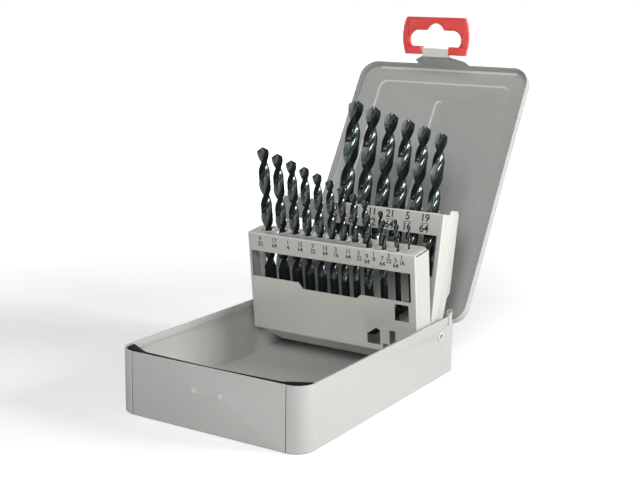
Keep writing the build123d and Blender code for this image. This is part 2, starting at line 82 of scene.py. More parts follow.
# twist drills: marks of a section's finish, the flutes' share of the length, and its loss
LAND, FLUTE, MARGIN = 0.0, 0.5, 1.0
FLUTE_SHARE, FLUTE_LOSS = 0.775, 0.245 * MM
# in radii: rings along the flutes, run-out and its fall-off, rings of the point, shank's edge
RING_STEP, RUN_OUT, RUN_OUT_POWER = 0.16, 2.6, 1.6
POINT_RINGS, SHANK_EDGE = (0.6, 0.35, 0.12), 0.12
# the margins' lighter steel is a painted highlight
FLUTE_STEEL, MARGIN_HIGHLIGHT = (0.20, 0.235, 0.24, 1), (0.36, 0.38, 0.38, 1)

# printed figures, in heights: size and weight of the type, length a digit and weight of the bar;
# spacing of the type, and how far the ink stands off its rack
TYPE_SIZE, TYPE_WEIGHT, BAR_LENGTH, BAR_WEIGHT = 1.38, 0.022, 0.62, 0.07
TYPE_SPACING, INK_PROUD = 0.92, 0.02 * MM

# stage: lamps by name, place, height aimed at, size and power; the floor; the way to the front
LAMPS = (("key", (1.40, 0.55, 0.58), 0.06, 0.6, 21),
         ("fill", (0.56, -1.29, 0.90), 0.10, 0.7, 14.6))
FLOOR_SIZE, FLOOR_DROP = 12, 0.0002
FRONT_WAY = (0.50, -0.86, 0.05)


# ------------------------------------------------------------------ settings
class CaseFinish(bpy.types.PropertyGroup):
    paint: bpy.props.FloatVectorProperty(
        name="Case paint", description="Satin grey paint of the tray and lid",
        subtype="COLOR", size=3, min=0, max=1, default=(0.535, 0.54, 0.52))
    rack_paint: bpy.props.FloatVectorProperty(
        name="Rack paint", description="Satin grey paint of the two racks",
        subtype="COLOR", size=3, min=0, max=1, default=(0.645, 0.65, 0.60))
    # a light paint along folds and cut edges, a painted highlight
    painted_edge_shading: bpy.props.FloatVectorProperty(
        name="Edge highlight", description="Paint polished bright along folds and cut edges",
        subtype="COLOR", size=3, min=0, max=1, default=(0.86, 0.86, 0.83))
    edge_round: bpy.props.FloatProperty(
        name="Edge rounding", description="Rounding of the sheet metal's cut edges",
        unit="LENGTH", min=0.00002, max=0.0003, default=0.00012)


class DrillFinish(bpy.types.PropertyGroup):
    oxide: bpy.props.FloatVectorProperty(
        name="Black oxide", description="Colour of the drills' steam-tempered steel",
        subtype="COLOR", size=3, min=0, max=1, default=(0.012, 0.017, 0.018))
    pitch_ratio: bpy.props.FloatProperty(
        name="Flute pitch", description="Length of one full turn of a flute, in diameters",
        min=3, max=9, default=5.77)
    web_ratio: bpy.props.FloatProperty(
        name="Web", description="Half thickness of the core between the flutes, in radii",
        min=0.1, max=0.5, default=0.18)
    point_angle: bpy.props.FloatProperty(
        name="Point", description="Angle of the ground point",
        subtype="ANGLE", min=radians(90), max=radians(150), default=radians(118))
    lip_relief: bpy.props.FloatProperty(
        name="Lip relief", description="Fall from a lip to its heel at the rim, in radii",
        min=0, max=0.5, default=0.27)
    lip_turn: bpy.props.FloatProperty(
        name="Lip turn", description="How far the drills are turned in their holes",
        subtype="ANGLE", default=radians(121.7))


class HangerFinish(bpy.types.PropertyGroup):
    plastic: bpy.props.FloatVectorProperty(
        name="Hanger plastic", description="Glossy moulded red of the hanger",
        subtype="COLOR", size=3, min=0, max=1, default=(0.98, 0.11, 0.10))
    # a deeper red along the moulded edges, a painted shade
    painted_edge_shading: bpy.props.FloatVectorProperty(
        name="Hanger edges", description="Deeper red along the moulded edges",
        subtype="COLOR", size=3, min=0, max=1, default=(0.24, 0.015, 0.015))
    edge_round: bpy.props.FloatProperty(
        name="Edge rounding", description="Rounding of the hanger's moulded edges",
        unit="LENGTH", min=0.0001, max=0.001, default=0.0005)


class SizeMarks(bpy.types.PropertyGroup):
    ink: bpy.props.FloatVectorProperty(
        name="Ink", description="Printing ink of the drill sizes",
        subtype="COLOR", size=3, min=0, max=1, default=(0.03, 0.03, 0.03))
    front_height: bpy.props.FloatProperty(
        name="Front figures", description="Height of the figures on the front rack",
        unit="LENGTH", min=0.001, max=0.005, default=0.0028)
    rear_height: bpy.props.FloatProperty(
        name="Rear figures", description="Height of the figures on the rear rack",
        unit="LENGTH", min=0.001, max=0.006, default=0.0047)


class StageSetup(bpy.types.PropertyGroup):
    camera_place: bpy.props.FloatVectorProperty(
        name="Camera place", description="Where the camera stands",
        subtype="TRANSLATION", unit="LENGTH", size=3, default=(0.36154, -0.55913, 0.22919))
    azimuth: bpy.props.FloatProperty(
        name="Azimuth", description="How far round the case the camera stands",
        subtype="ANGLE", default=radians(31.693))
    elevation: bpy.props.FloatProperty(
        name="Elevation", description="How far the camera looks down",
        subtype="ANGLE", default=radians(11.853))
    roll: bpy.props.FloatProperty(
        name="Roll", description="Turn of the camera about its own line of sight",
        subtype="ANGLE", default=radians(0.891))
    room_light: bpy.props.FloatProperty(
        name="Room light", description="Strength of the soft light from all round",
        min=0, max=1, default=0.14)
    lens: bpy.props.FloatProperty(
        name="Lens", description="Focal length in millimetres on a 36 mm sensor",
        min=20, max=200, default=67.58)


# ------------------------------------------------------------------ working helpers
def settings():
    """The sizes and colours set in the sidebar."""
    return bpy.context.scene.drill_case


def pick(*objects):
    """Leave edit mode and select only these objects, the last one active."""
    if bpy.context.object and bpy.context.object.mode != "OBJECT":
        bpy.ops.object.mode_set(mode="OBJECT")
    bpy.ops.object.select_all(action="DESELECT")
    for item in objects:
        item.select_set(True)
        bpy.context.view_layer.objects.active = item


def apply_all(piece):
    """Apply a piece's modifiers, first to last."""
    pick(piece)
    for modifier in list(piece.modifiers):
        bpy.ops.object.modifier_apply(modifier=modifier.name)


def settle(piece, turn):
    """Put a place and turn into a piece's mesh, so that its object sits at the origin."""
    piece.data.transform(turn @ piece.matrix_world)
    piece.matrix_world = Matrix.Identity(4)


def finish_piece(piece, name, body, material):
    """Name a piece and give it its body and its finish."""
    piece.name = piece.data.name = name
    piece.data.materials.clear()
    piece.data.materials.append(material)
    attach(piece, body)
    return piece


def dressed_copy(node, name, body, material, edge_round, edge=None):
    """A cleaned copy of a solid with its edges rounded, which stands for that solid.

    The rounded edges take the finish given as edge."""
    pick(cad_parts[node])
    bpy.ops.object.duplicate(linked=False)
    piece = bpy.context.object
    piece.parent = None
    for key in [key for key in piece.keys() if key.startswith("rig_")]:
        del piece[key]
    if piece.data.has_custom_normals:
        bpy.ops.mesh.customdata_custom_splitnormals_clear()
    bpy.ops.object.mode_set(mode="EDIT")
    bpy.ops.mesh.select_all(action="SELECT")
    bpy.ops.mesh.remove_doubles(threshold=0.000002)
    bpy.ops.mesh.dissolve_limited(angle_limit=radians(0.4))
    bpy.ops.object.mode_set(mode="OBJECT")
    bevel = piece.modifiers.new("Edges", "BEVEL")
    bevel.width = edge_round
    bevel.segments = 2
    bevel.limit_method = "ANGLE"
    bevel.angle_limit = SHARP_EDGE
    # the rounded edges take the second finish: a painted highlight on the case and racks, a painted
    # shade on the hanger
    bevel.material = EDGE_FINISH if edge else -1
    finish_piece(piece, name, body, material)
    if edge:
        piece.data.materials.append(edge)
    apply_all(piece)
    bpy.ops.object.shade_smooth_by_angle(angle=SHARP_EDGE)
    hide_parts(node)
    return piece


# the faces chosen here take a light paint, a painted highlight
def highlight_faces(piece, is_highlit):
    """Give the faces that pass a test the finish of the piece's edges."""
    for face in piece.data.polygons:
        if is_highlit(face):
            face.material_index = EDGE_FINISH


def rack_turn(lean):
    """Turn from the upright drawing of a rack to its leaning place."""
    return (Matrix.Translation(RIVET_LINE) @ Matrix.Rotation(lean, 4, "X")
            @ Matrix.Translation(-RIVET_LINE))


def joined(parts, name, body, material):
    """Several small pieces made one, with its place in its mesh."""
    pick(*parts)
    if len(parts) > 1:
        bpy.ops.object.join()
    piece = bpy.context.object
    bpy.ops.object.transform_apply(location=True, rotation=True, scale=True)
    return finish_piece(piece, name, body, material)


def dome(place, radius, rise, toward):
    """Half of a flattened ball, closed at its back, bulging from a wall."""
    bpy.ops.mesh.primitive_uv_sphere_add(segments=24, ring_count=12, radius=1, location=(0, 0, 0))
    piece = bpy.context.object
    bpy.ops.object.mode_set(mode="EDIT")
    bpy.ops.mesh.bisect(plane_co=(0, 0, -0.05), plane_no=(0, 0, 1), use_fill=True, clear_inner=True)
    bpy.ops.object.mode_set(mode="OBJECT")
    bpy.ops.object.shade_smooth_by_angle(angle=radians(60))
    piece.scale = (radius, radius, rise)
    piece.rotation_euler = Vector(toward).to_track_quat("Z", "Y").to_euler()
    piece.location = place
    return piece


def plate(low, high, round_by):
    """A thin plate between two corners with its edges rounded."""
    low, high = Vector(low), Vector(high)
    bpy.ops.mesh.primitive_cube_add(size=1, location=(low + high) / 2)
    piece = bpy.context.object
    piece.scale = high - low
    bpy.ops.object.transform_apply(location=False, rotation=False, scale=True)
    bevel = piece.modifiers.new("Edges", "BEVEL")
    bevel.width = round_by
    bevel.segments = 2
    apply_all(piece)
    return piece


# ------------------------------------------------------------------ finishes
def add_node(tree, kind, place, **values):
    """A node at a place in a tree, with its properties and the values of its sockets."""
    node = tree.nodes.new(kind)
    node.location = place
    for key, value in values.items():
        if hasattr(node, key) and key not in node.inputs:
            setattr(node, key, value)
        else:
            node.inputs[key.replace("_", " ")].default_value = value
    return node


def darkened(tree, colour, level, place):
    """A colour times a level of grey."""
    across, up = place
    grey = add_node(tree, "ShaderNodeCombineColor", place)
    times = add_node(tree, "ShaderNodeMix", (across + 240, up), data_type="RGBA",
                     blend_type="MULTIPLY")
    times.inputs["Factor"].default_value = 1.0
    for channel in ("Red", "Green", "Blue"):
        tree.links.new(level, grey.inputs[channel])
    tree.links.new(colour, times.inputs["A"])
    tree.links.new(grey.outputs[0], times.inputs["B"])
    return times.outputs["Result"]


def all_but(tree, share, place):
    """One less a share."""
    rest = add_node(tree, "ShaderNodeMath", place, operation="SUBTRACT")
    rest.inputs[0].default_value = 1.0
    tree.links.new(share, rest.inputs[1])
    return rest.outputs[0]


def mottle_group():
    """Colour drift, orange peel, handling marks and painted shade in folds and corners for painted
    or moulded skin.
    """
    group = bpy.data.node_groups.get("Skin mottle")
    if group:
        return group
    group = bpy.data.node_groups.new("Skin mottle", "ShaderNodeTree")
    face = group.interface
    face.new_socket("Colour", in_out="INPUT", socket_type="NodeSocketColor")
    for name, value in (("Drift", 0.05), ("Gloss low", 0.35), ("Gloss high", 0.5),
                        ("Peel scale", 900), ("Corner shade", 0.5), ("Shelter", 0.014)):
        socket = face.new_socket(name, in_out="INPUT", socket_type="NodeSocketFloat")
        socket.default_value = value
    face.new_socket("Colour", in_out="OUTPUT", socket_type="NodeSocketColor")
    face.new_socket("Roughness", in_out="OUTPUT", socket_type="NodeSocketFloat")
    face.new_socket("Height", in_out="OUTPUT", socket_type="NodeSocketFloat")
    start = add_node(group, "NodeGroupInput", (-900, 0))
    end = add_node(group, "NodeGroupOutput", (700, 0))
    where = add_node(group, "ShaderNodeTexCoord", (-900, -300))
    broad = add_node(group, "ShaderNodeTexNoise", (-600, 200), Scale=22.0, Detail=3.0,
                     Roughness=0.6)
    marks = add_node(group, "ShaderNodeTexNoise", (-600, -60), Scale=140.0, Detail=6.0,
                     Roughness=0.7)
    peel = add_node(group, "ShaderNodeTexNoise", (-600, -320), Detail=2.0, Roughness=0.5)
    link = group.links.new
    for texture in (broad, marks, peel):
        link(where.outputs["Object"], texture.inputs["Vector"])
    # the colour drifts slowly over the whole surface
    shade = add_node(group, "ShaderNodeMapRange", (-350, 200), **{"From Min": 0.3, "From Max": 0.7})
    link(broad.outputs["Fac"], shade.inputs["Value"])
    link(all_but(group, start.outputs["Drift"], (-350, 420)), shade.inputs["To Min"])
    tint = darkened(group, start.outputs["Colour"], shade.outputs[0], (0, 300))
    # painted shade: the colour darkens in the piece's own folds and corners, by its ambient
    # occlusion
    shelter = add_node(group, "ShaderNodeAmbientOcclusion", (-600, 700), samples=8,
                       only_local=True)
    open_air = add_node(group, "ShaderNodeMapRange", (-350, 700), **{
        "From Min": 0.1, "From Max": 0.62})
    link(start.outputs["Shelter"], shelter.inputs["Distance"])
    link(shelter.outputs["AO"], open_air.inputs["Value"])
    link(all_but(group, start.outputs["Corner shade"], (-350, 900)), open_air.inputs["To Min"])
    link(darkened(group, tint, open_air.outputs[0], (0, 700)), end.inputs["Colour"])
    # handling marks vary the gloss, and orange peel gives the bump
    gloss = add_node(group, "ShaderNodeMapRange", (0, -60), **{"From Min": 0.35, "From Max": 0.65})
    link(marks.outputs["Fac"], gloss.inputs["Value"])
    link(start.outputs["Gloss low"], gloss.inputs["To Min"])
    link(start.outputs["Gloss high"], gloss.inputs["To Max"])
    link(gloss.outputs[0], end.inputs["Roughness"])
    link(start.outputs["Peel scale"], peel.inputs["Scale"])
    link(peel.outputs["Fac"], end.inputs["Height"])
    return group


def skin_material(name, colour, drift, gloss, peel, corner_shade=0.5, shelter=0.014, **shader):
    """A finish that places the mottle group with its own values.

    gloss is its least and most roughness, peel the scale and depth of its bump, and shelter how
    near its own walls stand where its colour is darkened as painted shade in its folds and corners.
    What else is given are the shader's sockets."""
    material = bpy.data.materials.get(name)
    if material:
        return material
    material = bpy.data.materials.new(name)
    material.use_nodes = True
    tree = material.node_tree
    surface = tree.nodes["Principled BSDF"]
    for key, value in shader.items():
        surface.inputs[key.replace("_", " ")].default_value = value
    skin = add_node(tree, "ShaderNodeGroup", (-500, 100))
    skin.node_tree = mottle_group()
    for key, value in (("Colour", (*colour, 1)), ("Drift", drift), ("Gloss low", gloss[0]),
                       ("Gloss high", gloss[1]), ("Peel scale", peel[0]), ("Corner shade", corner_shade),
                       ("Shelter", shelter)):
        skin.inputs[key].default_value = value
    bump = add_node(tree, "ShaderNodeBump", (-250, -200), Strength=0.25, Distance=peel[1])
    tree.links.new(skin.outputs["Colour"], surface.inputs["Base Color"])
    tree.links.new(skin.outputs["Roughness"], surface.inputs["Roughness"])
    tree.links.new(skin.outputs["Height"], bump.inputs["Height"])
    tree.links.new(bump.outputs["Normal"], surface.inputs["Normal"])
    return material


def case_paint():
    # the tray and lid are darkened strongly in their own folds and corners, a painted shade
    return skin_material("Satin grey paint", settings().case.paint, drift=0.04, gloss=(0.34, 0.46),
                         peel=(700, 0.00006), corner_shade=0.72, shelter=0.035)


def rack_paint():
    # the racks are darkened in their own folds and corners, a painted shade
    return skin_material("Rack paint", settings().case.rack_paint, drift=0.05, gloss=(0.32, 0.45),
                         peel=(900, 0.00005), corner_shade=0.4, shelter=0.02)


# a light paint standing for highlights on edges, folds and hole rims, a painted highlight
def highlight_paint():
    return skin_material("Highlight paint", settings().case.painted_edge_shading, drift=0.06, gloss=(0.25, 0.35),
                         peel=(900, 0.00003), corner_shade=0.2)


# a lighter and glossier paint; its lighter colour is a painted highlight on the latch bumps
def bump_highlight_paint():
    return skin_material("Bump highlight paint", (0.62, 0.625, 0.6), drift=0.04, gloss=(0.12, 0.2),
                         peel=(700, 0.00002), corner_shade=0.2)


def bright_steel():
    return skin_material("Bright steel", (0.62, 0.61, 0.58), drift=0.12, gloss=(0.22, 0.4),
                         peel=(1500, 0.00003), Metallic=0.9)


# a near-black steel for the racks' rests, a painted shade that keeps the racks' lower windows dark
def dark_shade_steel():
    return skin_material("Dark shade steel", (0.02, 0.022, 0.024), drift=0.25, gloss=(0.35, 0.5),
                         peel=(1500, 0.00003), Metallic=0.5, Specular_IOR_Level=0.25)


def rivet_steel():
    return skin_material("Rivet steel", (0.86, 0.79, 0.70), drift=0.1, gloss=(0.3, 0.45),
                         peel=(1500, 0.00003), corner_shade=0.3, Metallic=0.35)


# near-black: the soft strip's rubber, and a painted shade on the plates behind the seams
def black_rubber_and_shade():
    return skin_material("Black rubber and shade", (0.005, 0.006, 0.007), drift=0.3, gloss=(0.6, 0.8),
                         peel=(900, 0.00005), Specular_IOR_Level=0.08)


def red_plastic():
    return skin_material("Red plastic", settings().hanger.plastic, drift=0.05, gloss=(0.24, 0.34),
                         peel=(400, 0.00004))


# a deeper red for the hanger's rounded edges, a painted shade
def red_edge_shade():
    return skin_material("Red edge shade", settings().hanger.painted_edge_shading, drift=0.05, gloss=(0.3, 0.4),
                         peel=(400, 0.00004))


def print_ink():
    return skin_material("Print ink", settings().marks.ink, drift=0.2, gloss=(0.5, 0.65),
                         peel=(1500, 0.00002))


def black_oxide():
    """Steam-tempered steel: satin on the lands, glossy in the flutes, and a lighter steel on the
    margins as a painted highlight.
    """
    known = bpy.data.materials.get("Black oxide")
    if known:
        return known
    material = skin_material("Black oxide", settings().drill.oxide, drift=0.35, gloss=(0.26, 0.4),
                             peel=(2500, 0.00002), Specular_IOR_Level=0.08)
    tree = material.node_tree
    surface = tree.nodes["Principled BSDF"]
    skin = next(node for node in tree.nodes if node.type == "GROUP")
    polish_and_highlight = add_node(tree, "ShaderNodeAttribute", (-900, 500))
    polish_and_highlight.attribute_name = "polish_and_highlight"
    # the attribute is LAND, FLUTE or MARGIN, and runs smoothly from one to the next
    margin = add_node(tree, "ShaderNodeMapRange", (-650, 500), **{
        "From Min": 0.55, "From Max": 0.95})
    # the margins are mixed toward a lighter steel, a painted highlight
    bright = add_node(tree, "ShaderNodeMix", (-250, 400), data_type="RGBA")
    bright.inputs["B"].default_value = MARGIN_HIGHLIGHT
    metal = add_node(tree, "ShaderNodeMapRange", (-250, 700), **{
        "From Min": 0.1, "From Max": 0.45, "To Max": 0.9})
    worn = add_node(tree, "ShaderNodeMix", (0, 550), data_type="RGBA")
    worn.inputs["B"].default_value = FLUTE_STEEL
    flute = add_node(tree, "ShaderNodeMapRange", (-650, 250), **{
        "From Min": 0.1, "From Max": 0.45, "To Min": 1.0, "To Max": 0.5})
    gloss = add_node(tree, "ShaderNodeMath", (-250, 150), operation="MULTIPLY")
    link = tree.links.new
    for level in (margin, metal, flute):
        link(polish_and_highlight.outputs["Fac"], level.inputs["Value"])
    link(margin.outputs[0], bright.inputs["Factor"])
    link(metal.outputs[0], surface.inputs["Metallic"])
    link(metal.outputs[0], worn.inputs["Factor"])
    link(skin.outputs["Colour"], worn.inputs["A"])
    link(worn.outputs["Result"], bright.inputs["A"])
    link(bright.outputs["Result"], surface.inputs["Base Color"])
    link(flute.outputs[0], gloss.inputs[0])
    link(skin.outputs["Roughness"], gloss.inputs[1])
    link(gloss.outputs[0], surface.inputs["Roughness"])
    return material


# ------------------------------------------------------------------ twist drills
def flute_section(web, reach=0.95, margin=0.12, clearance=0.95, flute_steps=14):
    """Angle, radius, fall-off behind the lip and finish round a two-fluted section of unit radius.

    Each half runs from a lip across its flute to the heel of the next land, and over that land
    to its raised margin and lip."""
    centre = web + reach
    rim = (1 + centre * centre - reach * reach) / (2 * centre)
    half = atan2(sqrt(1 - rim * rim), rim)
    land = pi - 2 * half
    points = []
    for side in (0, pi):
        for step in range(flute_steps + 1):
            swing = half * (2 * step / flute_steps - 1)
            radius = centre * cos(swing) - sqrt(max(0, reach ** 2 - (centre * sin(swing)) ** 2))
            points.append((side + swing, radius, 0.0 if swing <= 0 else 1.0, FLUTE))
        for share, radius in ((0.03, clearance), (0.3, clearance), (0.6, clearance),
                              (0.97 - margin, clearance), (1 - margin, 1.0)):
            points.append((side + half + land * share, radius, 1 - share,
                           MARGIN if radius == 1.0 else LAND))
    return points


def upward(lean):
    """Which way a leaning rack's drills point."""
    return Vector((0, -sin(lean), cos(lean)))


def drill_line(node, axis):
    """Foot, radius and length of a drill's solid."""
    spots = [Vector(v.co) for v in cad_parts[node].data.vertices]
    low = min(spot.dot(axis) for spot in spots)
    length = max(spot.dot(axis) for spot in spots) - low
    foot = [spot for spot in spots if spot.dot(axis) < low + 1e-5]
    base = sum(foot, Vector()) / len(foot)
    return base, max((spot - base).length for spot in foot), length


def twist_drill(node, body, axis):
    """One drill on its solid's line: shank, run-out, helical flutes and a ground point."""
    drill = settings().drill
    base, radius, length = drill_line(node, axis)
    flute = length * (FLUTE_SHARE - FLUTE_LOSS / radius)
    rings = round(flute / (RING_STEP * radius))
    section = flute_section(drill.web_ratio)
    twist = pi / (drill.pitch_ratio * radius)
    bpy.ops.mesh.primitive_circle_add(vertices=len(section), radius=radius, fill_type="NOTHING",
                                      location=(0, 0, 0))
    piece = bpy.context.object
    screw = piece.modifiers.new("Flutes", "SCREW")
    screw.axis = "Z"
    screw.angle = 0
    screw.screw_offset = flute
    screw.steps = screw.render_steps = rings
    screw.use_merge_vertices = False
    apply_all(piece)
    # each column of the section is wound round, stopped at the point and run out into the shank
    slope = 1 / tan(drill.point_angle / 2)
    run_out = RUN_OUT * radius
    polish_and_highlight = piece.data.attributes.new("polish_and_highlight", "FLOAT", "POINT")
    for index, vertex in enumerate(piece.data.vertices):
        angle, share, fall, finish = section[index % len(section)]
        top = flute - share * radius * (slope + drill.lip_relief * fall)
        height = min(vertex.co.z, top)
        fade = max(0, 1 - height / run_out) ** RUN_OUT_POWER
        share += (1 - share) * fade
        angle += twist * (height - flute) + drill.lip_turn
        vertex.co = (radius * share * cos(angle), radius * share * sin(angle), height)
        polish_and_highlight.data[index].value = finish * (1 - fade)
    bpy.ops.object.mode_set(mode="EDIT")
    shape = bmesh.from_edit_mesh(piece.data)
    for edge in shape.edges:
        edge.select_set(edge.is_boundary and max(v.co.z for v in edge.verts) > run_out)
    bmesh.update_edit_mesh(piece.data)
    tip = (0, 0, flute)
    for share in POINT_RINGS:
        bpy.ops.mesh.extrude_edges_move()
        bpy.ops.transform.resize(value=(share, share, share), center_override=tip)
    bpy.ops.mesh.merge(type="CENTER")
    bpy.ops.mesh.select_all(action="SELECT")
    bpy.ops.mesh.remove_doubles(threshold=1e-6)
    bpy.ops.mesh.select_all(action="DESELECT")
    shape = bmesh.from_edit_mesh(piece.data)
    for edge in shape.edges:
        edge.select_set(edge.is_boundary)
    bmesh.update_edit_mesh(piece.data)
    bevel = SHANK_EDGE * radius
    for fall in (flute + bevel - length, -bevel):
        bpy.ops.mesh.extrude_edges_move(TRANSFORM_OT_translate={"value": (0, 0, fall)})
    bpy.ops.transform.resize(value=(1 - SHANK_EDGE, 1 - SHANK_EDGE, 1), center_override=(0, 0, 0))
    bpy.ops.mesh.edge_face_add()
    bpy.ops.mesh.select_all(action="SELECT")
    bpy.ops.mesh.normals_make_consistent(inside=False)
    bpy.ops.object.mode_set(mode="OBJECT")
    bpy.ops.object.shade_smooth_by_angle(angle=radians(32))
    lean = Vector((0, 0, 1)).rotation_difference(axis).to_matrix().to_4x4()
    settle(piece, Matrix.Translation(base + axis * (length - flute)) @ lean)
    finish_piece(piece, "twist_" + node, body, black_oxide())
    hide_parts(node)
    return piece


class CASE_OT_drills(bpy.types.Operator):
    """Grind the twist drills on the lines of their solids"""
    bl_idname = "drill_case.drills"
    bl_label = "Twist drills"

    def execute(self, context):
        for side, drills, face, top, lean in RACKS:
            for name in drills:
                twist_drill("drill_" + name, "loose_drill_" + name, upward(lean))
        return {"FINISHED"}


# ------------------------------------------------------------------ sheet metal
def highlight_pressings(skin):
    """The slopes of the lid's pressed field and rib take a light paint, a painted highlight."""
    flat, steep, reach = 0.95, 0.3, 50 * MM
    panel = max(skin.data.polygons, key=lambda face: face.area).normal.copy()
    highlight_faces(skin, lambda face: steep < abs(face.normal.dot(panel)) < flat
         and abs(face.center.x) < reach)


def seam_shade_plates():
    """Black plates behind the seams at the front wall's ends, a painted shade where the gaps show
    through.
    """
    half, thick, rounding = 2.5 * MM, 0.2 * MM, 0.05 * MM
    front, low = FRONT_WALL_Y + 0.72 * MM, 1.2 * MM
    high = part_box("front_buffer")[0][2] - 0.1 * MM
    # the plates are black, a painted shade behind the seams
    shade_plates = [plate((side * SEAM_X - half, front, low), (side * SEAM_X + half, front + thick, high),
                  rounding) for side in LEFT_AND_RIGHT]
    joined(shade_plates, "seam_shade_plates", "base", black_rubber_and_shade())


def latch_bumps():
    """Bumps in the front wall that the lid's tab rides over."""
    radius, rise, height, sunk = 2.2 * MM, 1.3 * MM, 21.7 * MM, 0.1 * MM
    # the bumps take a paint lighter than the wall's, a painted highlight
    bumps = [dome((side * LATCH_X, FRONT_WALL_Y + sunk, height), radius, rise, (0, -1, 0))
             for side in LEFT_AND_RIGHT]
    joined(bumps, "latch_bumps", "base", bump_highlight_paint())


def rivet_pips():
    """Small pips in the side walls, above the rivets."""
    radius, rise, above = 0.75 * MM, 0.35 * MM, 4 * MM
    pips = [dome((side * SIDE_WALL_X, RIVET_LINE.y, RIVET_LINE.z + above), radius, rise,
                 (side, 0, 0)) for side in LEFT_AND_RIGHT]
    joined(pips, "rivet_pips", "base", bright_steel())


class CASE_OT_case(bpy.types.Operator):
    """Round and paint the tray and lid, with their pins, soft strip, seam shade plates, bumps and
    pips
    """
    bl_idname = "drill_case.case"
    bl_label = "Tray and lid"

    def execute(self, context):
        edge = settings().case.edge_round
        soft = 4 * edge
        # the tray's and lid's rounded edges take a light paint, a painted highlight
        dressed_copy("base_tray", "tray", "base", case_paint(), edge,
                     edge=highlight_paint())
        skin = dressed_copy("lid_shell", "lid_skin", "lid", case_paint(), edge,
                            edge=highlight_paint())
        highlight_pressings(skin)
        dressed_copy("hinge_pin", "hinge_wire", "base", bright_steel(), edge)
        dressed_copy("rack_rivets", "hollow_rivets", "base", rivet_steel(), edge)
        dressed_copy("front_buffer", "soft_strip", "base", black_rubber_and_shade(), soft)
        seam_shade_plates()
        latch_bumps()
        rivet_pips()
        return {"FINISHED"}


def highlight_folds(skin, lean):
    """The chamfered folds along a rack's front edges take a light paint, a painted highlight."""
    upright = Matrix.Rotation(-lean, 3, "X")
    slope = 0.5

    def is_fold(face):
        normal = upright @ face.normal
        return normal.y < -slope and max(abs(normal.x), normal.z) > slope

    highlight_faces(skin, is_fold)


def hole_collars(side, drills, top, lean):
    """Punched rims standing round the holes of a rack's top."""
    clearance, wire = 0.45 * MM, 0.22 * MM
    rings = []
    for name in drills:
        base, radius, _ = drill_line("drill_" + name, upward(lean))
        spot = rack_turn(lean).inverted() @ base
        bpy.ops.mesh.primitive_torus_add(location=(spot.x, spot.y, top), major_segments=32,
                                         minor_segments=8, major_radius=radius + clearance,
                                         minor_radius=wire)
        bpy.ops.object.shade_smooth()
        rings.append(bpy.context.object)
    # the rims take the light edge paint, a painted highlight round each hole
    piece = joined(rings, side + "_collars", side + "_rack_body", highlight_paint())
    settle(piece, rack_turn(lean))


class CASE_OT_racks(bpy.types.Operator):
    """Round and paint the two racks and their rests, and rim their holes"""
    bl_idname = "drill_case.racks"
    bl_label = "Racks"

    def execute(self, context):
        edge = settings().case.edge_round
        for side, drills, face, top, lean in RACKS:
            body = side + "_rack_body"
            # the racks' rounded edges take a light paint, a painted highlight
            skin = dressed_copy(side + "_rack", side + "_rack_skin", body,
                                rack_paint(), edge, edge=highlight_paint())
            highlight_folds(skin, lean)
            # the rests are near-black, a painted shade in the racks' lower windows
            dressed_copy(side + "_rest", side + "_rest_strip", body, dark_shade_steel(),
                         edge)
        for side, drills, face, top, lean in RACKS:
            hole_collars(side, drills, top, lean)
        return {"FINISHED"}


# ------------------------------------------------------------------ hanger and latch tab
def foot_clamps():
    """Clamps with which the hanger's two feet grip the lid's flange."""
    near, far, rounding = 10.6 * MM, 20.4 * MM, 0.55 * MM
    low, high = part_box("hanger")
    front, back = low[1] - 0.4 * MM, low[1] + 0.9 * MM
    foot, head = low[2] + 0.5 * MM, low[2] + 4.3 * MM
    clamps = [plate((min(side * near, side * far), front, foot),
                    (max(side * near, side * far), back, head), rounding)
              for side in LEFT_AND_RIGHT]
    joined(clamps, "foot_clamps", "lid", red_plastic())


def latch_seats():
    """Shallow seats that close the latch tab's two holes."""
    radius, rise, outward = 2.75 * MM, 0.8 * MM, (0, 0.42, 0.906)
    seats = [dome((side * LATCH_X, 173.19 * MM, 184.59 * MM), radius, rise, outward)
             for side in LEFT_AND_RIGHT]
    joined(seats, "latch_seats", "lid", case_paint())


class CASE_OT_hanger(bpy.types.Operator):
    """Round the moulded hanger, clamp its feet, and close the latch tab's holes"""
    bl_idname = "drill_case.hanger"
    bl_label = "Hanger"

    def execute(self, context):
        # the hanger's rounded edges take a deeper red, a painted shade
        dressed_copy("hanger", "hang_tag", "lid", red_plastic(),
                     settings().hanger.edge_round, edge=red_edge_shade())
        foot_clamps()
        latch_seats()
        return {"FINISHED"}


# ------------------------------------------------------------------ size figures
def figure(words, height, place):
    """Flat printed words centred at a place, facing the front."""
    bpy.ops.object.text_add(location=place, rotation=(pi / 2, 0, 0))
    text = bpy.context.object
    text.data.body = words
    text.data.size = height * TYPE_SIZE
    text.data.space_character = TYPE_SPACING
    text.data.align_x = "CENTER"
    text.data.align_y = "CENTER"
    text.data.resolution_u = 4
    text.data.offset = TYPE_WEIGHT * height
    pick(text)
    bpy.ops.object.convert(target="MESH")
    return bpy.context.object


def fraction(over, under, height, spread, barred, place):
    """One figure over another, each as far from the place as spread, with a bar between or none."""
    parts = [figure(over, height, place + Vector((0, 0, spread))),
             figure(under, height, place - Vector((0, 0, spread)))]
    if barred:
        bpy.ops.mesh.primitive_plane_add(size=1, location=place, rotation=(pi / 2, 0, 0))
        bar = bpy.context.object
        bar.scale = (height * BAR_LENGTH * max(len(over), len(under)), height * BAR_WEIGHT, 1)
        parts.append(bar)
    return parts


